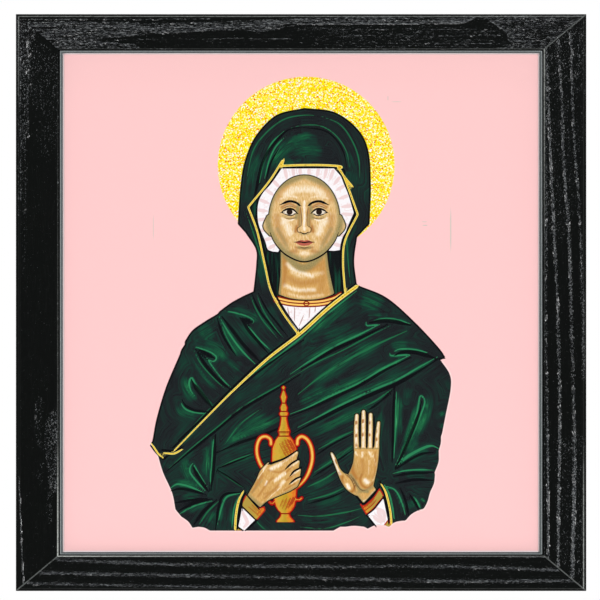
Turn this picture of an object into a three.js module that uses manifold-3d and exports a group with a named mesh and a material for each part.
// A printed ceramic tile in a black mitred wood frame, made to hang on a wall.
// Millimetres. Seen from the front, X runs to the right and Z up. The wall is the plane Y = 0 and the picture
// faces -Y. The origin is the middle of the hanger's flat back.
import * as THREE from "three";
import { mergeVertices } from "three/addons/utils/BufferGeometryUtils.js";
import Module from "manifold-3d";

// Opening that shows the tile, and the widths of the wood round it
const sight_width = 148.7;
const sight_height = 155.7;
const stile_width = 14.65;
const rail_width = 12.15;

// Section of a stile, from the outer edge to the sight edge. A rail's section is the same, narrowed to its
// width, so that the members meet line for line at the mitres.
const frame_depth = 16;
const outer_round = 1.1;
const back_chamfer = 0.6;
const quirk_width = 0.4;
const quirk_depth = 0.55;
const lip_width = 0.9;
const lip_drop = 0.2;
const lip_fall = 0.6;
const ledge_depth = 3;
const rabbet_lap = 2.25;
const mitre_gap = 0.1;

// Tile, and the board behind it
const tile_thickness = 5.5;
const tile_clearance = 0.4;
const tile_edge_round = 0.9;
const tile_corner_radius = 1.5;
const board_thickness = 3;
const board_clearance = 0.6;

// Framer's points, driven into the rabbet wall behind the board
const point_length = 14;
const point_width = 6;
const point_thickness = 0.7;
const point_bite = 5;
const point_tip = 2.5;
const point_spacing = 82;
const slot_clearance = 0.3;

// Sawtooth hanger and its nails
const hanger_length = 44;
const hanger_height = 8;
const hanger_thickness = 0.8;
const hanger_raise = 1.8;
const hanger_tab = 8;
const hanger_slope = 1.6;
const tooth_pitch = 2.4;
const tooth_depth = 1.5;
const tooth_count = 9;
const hanger_end_radius = 2;
const nail_shank_radius = 0.55;
const nail_head_radius = 1.5;
const nail_head_height = 0.6;
const nail_rim_height = 0.24;
const nail_tip = 1.1;
const nail_length = 9;
const nail_clearance = 0.3;

// Felt bumpers
const bumper_radius = 4.4;
const bumper_inset = 24;
const bumper_edge = 0.5;

// Sizes that follow from those above
const frame_width = sight_width + 2 * stile_width;
const frame_height = sight_height + 2 * rail_width;
const rail_to_stile = rail_width / stile_width;
const standoff = hanger_raise + hanger_thickness;
const nail_hole_radius = nail_shank_radius + nail_clearance;
const rail_back = (stile_width - rabbet_lap) * rail_to_stile;
const rabbet_lap_rail = rabbet_lap * rail_to_stile;
const front_y = -frame_depth;
const tile_front_y = front_y + ledge_depth;
const tile_back_y = tile_front_y + tile_thickness;
const board_back_y = tile_back_y + board_thickness;

const round_steps = 6;
const circle_sides = 24;
// How far a cutter runs past the face that it cuts
const cut_past = 1;

const black_wood = new THREE.MeshStandardMaterial({ color: 0x181a19, roughness: 0.42, metalness: 0 });
const glazed_print = new THREE.MeshStandardMaterial({ color: 0xffcccc, roughness: 0.12, metalness: 0 });
const hardboard = new THREE.MeshStandardMaterial({ color: 0x6b4a30, roughness: 0.85, metalness: 0 });
const blued_steel = new THREE.MeshStandardMaterial({ color: 0x5b5f66, roughness: 0.4, metalness: 0.9 });
const plated_steel = new THREE.MeshStandardMaterial({ color: 0xb8a77a, roughness: 0.35, metalness: 0.9 });
const dark_felt = new THREE.MeshStandardMaterial({ color: 0x33312f, roughness: 0.95, metalness: 0 });

const wasm = await Module();
wasm.setup();

// A closed geometry as a solid that can be cut.
function solidOf(geometry) {
  const bare = geometry.index ? geometry.toNonIndexed() : geometry.clone();
  bare.deleteAttribute("normal");
  bare.deleteAttribute("uv");
  const merged = mergeVertices(bare, 1e-4);
  return new wasm.Manifold(new wasm.Mesh({
    numProp: 3,
    vertProperties: merged.attributes.position.array,
    triVerts: new Uint32Array(merged.index.array),
  }));
}

// A solid back as a geometry.
function geometryOf(solid) {
  const mesh = solid.getMesh();
  const geometry = new THREE.BufferGeometry();
  geometry.setAttribute("position", new THREE.BufferAttribute(mesh.vertProperties, 3));
  geometry.setIndex(new THREE.BufferAttribute(mesh.triVerts, 1));
  geometry.computeVertexNormals();
  return geometry;
}

function namedMesh(name, geometry, material) {
  const mesh = new THREE.Mesh(geometry, material);
  mesh.name = name;
  return mesh;
}

// A box by its centre and size.
function boxAt(x, y, z, size_x, size_y, size_z) {
  return new THREE.BoxGeometry(size_x, size_y, size_z).translate(x, y, z);
}

// A rod along Y between two depths.
function rodAlongY(radius, x, y_from, y_to, z) {
  const rod = new THREE.CylinderGeometry(radius, radius, y_to - y_from, circle_sides);
  return rod.translate(x, (y_from + y_to) / 2, z);
}

// The outline of a stile's section: x is the distance from the outer edge, y the depth behind the front face.
function frameSection() {
  const section = new THREE.Shape();
  section.moveTo(back_chamfer, frame_depth);
  section.lineTo(0, frame_depth - back_chamfer);
  section.lineTo(0, outer_round);
  section.absarc(outer_round, outer_round, outer_round, Math.PI, 1.5 * Math.PI, false);
  section.lineTo(stile_width - lip_width - quirk_width, 0);
  section.lineTo(stile_width - lip_width - quirk_width, quirk_depth);
  section.lineTo(stile_width - lip_width, quirk_depth);
  section.lineTo(stile_width - lip_width, lip_drop);
  section.lineTo(stile_width, lip_drop + lip_fall);
  section.lineTo(stile_width, ledge_depth);
  section.lineTo(stile_width - rabbet_lap, ledge_depth);
  section.lineTo(stile_width - rabbet_lap, frame_depth);
  section.closePath();
  return section;
}

// One frame member between two corners of the frame, each given by its signs in X and Z. The section runs
// from mitre to mitre: at a corner, a point at share f of the width lies at share f of the way from the outer
// corner to the sight corner.
function memberGeometry(from, to) {
  const bar = new THREE.ExtrudeGeometry(frameSection(), {
    depth: 1,
    bevelEnabled: false,
    curveSegments: round_steps,
  });
  const along = new THREE.Vector2(to.x - from.x, to.z - from.z).normalize();
  const position = bar.getAttribute("position");
  for (let i = 0; i < position.count; i++) {
    const share = position.getX(i) / stile_width;
    const corner = position.getZ(i) > 0.5 ? to : from;
    const cut_back = (corner === to ? -1 : 1) * mitre_gap / 2;
    const depth = position.getY(i);
    position.setXYZ(
      i,
      corner.x * (frame_width / 2 - share * stile_width) + along.x * cut_back,
      front_y + depth,
      corner.z * (frame_height / 2 - share * rail_width) + along.y * cut_back,
    );
  }
  return bar;
}

// Places of the framer's points: a name, the place on the rabbet wall that each enters, and the way that it
// goes in.
function pointPlaces() {
  const wall_x = sight_width / 2 + rabbet_lap;
  const wall_z = sight_height / 2 + rabbet_lap_rail;
  const half = point_spacing / 2;
  return [
    { name: "point_top_left", member: "frame_rail_top", x: -half, z: wall_z, angle: 0 },
    { name: "point_top_right", member: "frame_rail_top", x: half, z: wall_z, angle: 0 },
    { name: "point_bottom_left", member: "frame_rail_bottom", x: -half, z: -wall_z, angle: Math.PI },
    { name: "point_bottom_right", member: "frame_rail_bottom", x: half, z: -wall_z, angle: Math.PI },
    { name: "point_left_upper", member: "frame_stile_left", x: -wall_x, z: half, angle: -Math.PI / 2 },
    { name: "point_left_lower", member: "frame_stile_left", x: -wall_x, z: -half, angle: -Math.PI / 2 },
    { name: "point_right_upper", member: "frame_stile_right", x: wall_x, z: half, angle: Math.PI / 2 },
    { name: "point_right_lower", member: "frame_stile_right", x: wall_x, z: -half, angle: Math.PI / 2 },
  ];
}

// A framer's point, lying behind the board: a flat strip whose sharp end goes into the wood, upwards at angle 0.
function pointGeometry() {
  const strip = new THREE.Shape();
  strip.moveTo(-point_width / 2, point_bite - point_length);
  strip.lineTo(point_width / 2, point_bite - point_length);
  strip.lineTo(point_width / 2, point_bite - point_tip);
  strip.lineTo(0, point_bite);
  strip.lineTo(-point_width / 2, point_bite - point_tip);
  strip.closePath();
  const plate = new THREE.ExtrudeGeometry(strip, { depth: point_thickness, bevelEnabled: false });
  return plate.rotateX(Math.PI / 2).translate(0, point_thickness, 0);
}

// The slot that takes a point's sharp end, in the same frame as the point.
function slotGeometry() {
  const reach = point_bite + slot_clearance;
  return boxAt(
    0, point_thickness / 2, (reach - cut_past) / 2,
    point_width + 2 * slot_clearance, point_thickness + 2 * slot_clearance, reach + cut_past,
  );
}

// Turns a geometry made at the top rail to a point's place.
function toPlace(geometry, place) {
  return geometry.rotateY(place.angle).translate(place.x, board_back_y, place.z);
}

const hanger_z = (frame_height - rail_back) / 2;
const nail_x = (hanger_length - hanger_tab) / 2;

// One member with its point slots cut, and on the top rail the pilot holes of the hanger's nails.
function frameMember(name, from, to) {
  let solid = solidOf(memberGeometry(from, to));
  for (const place of pointPlaces()) {
    if (place.member !== name) continue;
    solid = solid.subtract(solidOf(toPlace(slotGeometry(), place)));
  }
  if (name === "frame_rail_top") {
    const hole_bottom = hanger_thickness - nail_length - nail_clearance;
    for (const side of [-1, 1]) {
      const hole = rodAlongY(nail_hole_radius, side * nail_x, hole_bottom, cut_past, hanger_z);
      solid = solid.subtract(solidOf(hole));
    }
  }
  return namedMesh(name, geometryOf(solid), black_wood);
}

// A rectangle with rounded corners, centred, in X and Y.
function roundedRectangle(width, height, radius) {
  const outline = new THREE.Shape();
  outline.moveTo(-width / 2 + radius, -height / 2);
  outline.absarc(width / 2 - radius, -height / 2 + radius, radius, 1.5 * Math.PI, 2 * Math.PI, false);
  outline.absarc(width / 2 - radius, height / 2 - radius, radius, 0, 0.5 * Math.PI, false);
  outline.absarc(-width / 2 + radius, height / 2 - radius, radius, 0.5 * Math.PI, Math.PI, false);
  outline.absarc(-width / 2 + radius, -height / 2 + radius, radius, Math.PI, 1.5 * Math.PI, false);
  outline.closePath();
  return outline;
}

// The tile: a slab with a flat back, whose front edge is rounded all round by stacking the outline inwards.
function makeTile() {
  const width = sight_width + 2 * (rabbet_lap - tile_clearance);
  const height = sight_height + 2 * (rabbet_lap_rail - tile_clearance);
  const rings = [{ inset: 0, y: tile_back_y }];
  for (let step = 0; step <= round_steps; step++) {
    const turn = (step / round_steps) * (Math.PI / 2);
    rings.push({
      inset: tile_edge_round * (1 - Math.cos(turn)),
      y: tile_front_y + tile_edge_round * (1 - Math.sin(turn)),
    });
  }
  const loops = rings.map(({ inset, y }) => {
    const outline = roundedRectangle(width - 2 * inset, height - 2 * inset, tile_corner_radius - inset);
    return outline.getPoints(round_steps).slice(0, -1).map((p) => new THREE.Vector3(p.x, y, p.y));
  });
  return namedMesh("tile", stackedGeometry(loops), glazed_print);
}

// A closed surface through loops of equally many points, with flat ends.
function stackedGeometry(loops) {
  const count = loops[0].length;
  const corners = [];
  for (let level = 0; level + 1 < loops.length; level++) {
    for (let i = 0; i < count; i++) {
      const next = (i + 1) % count;
      const [a, b] = [loops[level][i], loops[level][next]];
      const [c, d] = [loops[level + 1][i], loops[level + 1][next]];
      corners.push(a, b, c, b, d, c);
    }
  }
  const flat = loops[0].map((p) => new THREE.Vector2(p.x, p.z));
  const last = loops[loops.length - 1];
  for (const [i, j, k] of THREE.ShapeUtils.triangulateShape(flat, [])) {
    corners.push(loops[0][i], loops[0][k], loops[0][j]);
    corners.push(last[i], last[j], last[k]);
  }
  const geometry = new THREE.BufferGeometry().setFromPoints(corners);
  geometry.computeVertexNormals();
  return geometry;
}

function makeBoard() {
  const width = sight_width + 2 * (rabbet_lap - board_clearance);
  const height = sight_height + 2 * (rabbet_lap_rail - board_clearance);
  const board = namedMesh("backing_board", new THREE.BoxGeometry(width, board_thickness, height), hardboard);
  board.position.y = tile_back_y + board_thickness / 2;
  return board;
}

// The hanger: a bent strip with two flat tabs on the wood, a raised middle with teeth and a hole in each tab.
// Here Y = 0 is the back of the frame.
function makeHanger() {
  const half = hanger_length / 2;
  const bend = half - hanger_tab;
  const top = bend - hanger_slope;
  const side = new THREE.Shape();
  side.moveTo(-half, 0);
  side.lineTo(-bend, 0);
  side.lineTo(-top, hanger_raise);
  side.lineTo(top, hanger_raise);
  side.lineTo(bend, 0);
  side.lineTo(half, 0);
  side.lineTo(half, hanger_thickness);
  side.lineTo(bend + hanger_thickness / 2, hanger_thickness);
  side.lineTo(top + hanger_thickness / 2, standoff);
  side.lineTo(-top - hanger_thickness / 2, standoff);
  side.lineTo(-bend - hanger_thickness / 2, hanger_thickness);
  side.lineTo(-half, hanger_thickness);
  side.closePath();
  const strip = new THREE.ExtrudeGeometry(side, { depth: hanger_height, bevelEnabled: false });
  let solid = solidOf(strip.translate(0, 0, -hanger_height / 2));

  const face = new THREE.Shape();
  const teeth_half = (tooth_count * tooth_pitch) / 2;
  const end_x = half - hanger_end_radius;
  const end_z = hanger_height / 2 - hanger_end_radius;
  face.moveTo(-end_x, -hanger_height / 2);
  face.lineTo(-teeth_half, -hanger_height / 2);
  for (let tooth = 0; tooth < tooth_count; tooth++) {
    const x = -teeth_half + tooth * tooth_pitch;
    face.lineTo(x + tooth_pitch / 2, -hanger_height / 2 + tooth_depth);
    face.lineTo(x + tooth_pitch, -hanger_height / 2);
  }
  face.absarc(end_x, -end_z, hanger_end_radius, 1.5 * Math.PI, 2 * Math.PI, false);
  face.absarc(end_x, end_z, hanger_end_radius, 0, 0.5 * Math.PI, false);
  face.absarc(-end_x, end_z, hanger_end_radius, 0.5 * Math.PI, Math.PI, false);
  face.absarc(-end_x, -end_z, hanger_end_radius, Math.PI, 1.5 * Math.PI, false);
  face.closePath();
  const through = new THREE.ExtrudeGeometry(face, {
    depth: standoff + 2 * cut_past,
    bevelEnabled: false,
    curveSegments: round_steps,
  });
  solid = solid.intersect(solidOf(through.rotateX(Math.PI / 2).translate(0, standoff + cut_past, 0)));
  for (const sign of [-1, 1]) {
    const hole = rodAlongY(nail_hole_radius, sign * nail_x, -cut_past, standoff, 0);
    solid = solid.subtract(solidOf(hole));
  }
  const hanger = namedMesh("sawtooth_hanger", geometryOf(solid), plated_steel);
  hanger.position.z = hanger_z;
  return hanger;
}

// A nail along Y, turned as a lathe does: shank into the wood, a low domed head on the hanger's tab.
function makeNail(name, x) {
  const dome = nail_head_height - nail_rim_height;
  const outline = [new THREE.Vector2(0, -nail_length)];
  outline.push(new THREE.Vector2(nail_shank_radius, -nail_length + nail_tip));
  outline.push(new THREE.Vector2(nail_shank_radius, 0));
  outline.push(new THREE.Vector2(nail_head_radius, 0));
  for (let step = 0; step <= round_steps; step++) {
    const turn = (step / round_steps) * (Math.PI / 2);
    const radius = step === round_steps ? 0 : nail_head_radius * Math.cos(turn);
    outline.push(new THREE.Vector2(radius, nail_rim_height + dome * Math.sin(turn)));
  }
  const nail = namedMesh(name, new THREE.LatheGeometry(outline, circle_sides), plated_steel);
  nail.position.set(x, hanger_thickness, hanger_z);
  return nail;
}

// A felt disc as thick as the hanger stands off, so that the frame hangs parallel to the wall.
function makeBumper(name, x) {
  const outline = [
    new THREE.Vector2(0, 0),
    new THREE.Vector2(bumper_radius, 0),
    new THREE.Vector2(bumper_radius, standoff - bumper_edge),
    new THREE.Vector2(bumper_radius - bumper_edge, standoff),
    new THREE.Vector2(0, standoff),
  ];
  const bumper = namedMesh(name, new THREE.LatheGeometry(outline, circle_sides), dark_felt);
  bumper.position.set(x, 0, -hanger_z);
  return bumper;
}

// The plaque is put together round the frame's own middle, with its back at Y = 0. It then moves as a whole, so
// that the middle of the hanger's back is the origin.
const plaque = new THREE.Group();
const top_left = { x: -1, z: 1 };
const top_right = { x: 1, z: 1 };
const bottom_right = { x: 1, z: -1 };
const bottom_left = { x: -1, z: -1 };
plaque.add(frameMember("frame_rail_top", top_left, top_right));
plaque.add(frameMember("frame_stile_right", top_right, bottom_right));
plaque.add(frameMember("frame_rail_bottom", bottom_right, bottom_left));
plaque.add(frameMember("frame_stile_left", bottom_left, top_left));
plaque.add(makeTile());
plaque.add(makeBoard());
for (const place of pointPlaces()) {
  plaque.add(namedMesh(place.name, toPlace(pointGeometry(), place), blued_steel));
}
plaque.add(makeHanger());
plaque.add(makeNail("hanger_nail_left", -nail_x));
plaque.add(makeNail("hanger_nail_right", nail_x));
plaque.add(makeBumper("bumper_left", bumper_inset - frame_width / 2));
plaque.add(makeBumper("bumper_right", frame_width / 2 - bumper_inset));
plaque.position.set(0, -standoff, -hanger_z);

const icon_tile = new THREE.Group();
icon_tile.name = "framed_icon_tile";
icon_tile.add(plaque);

export default icon_tile;
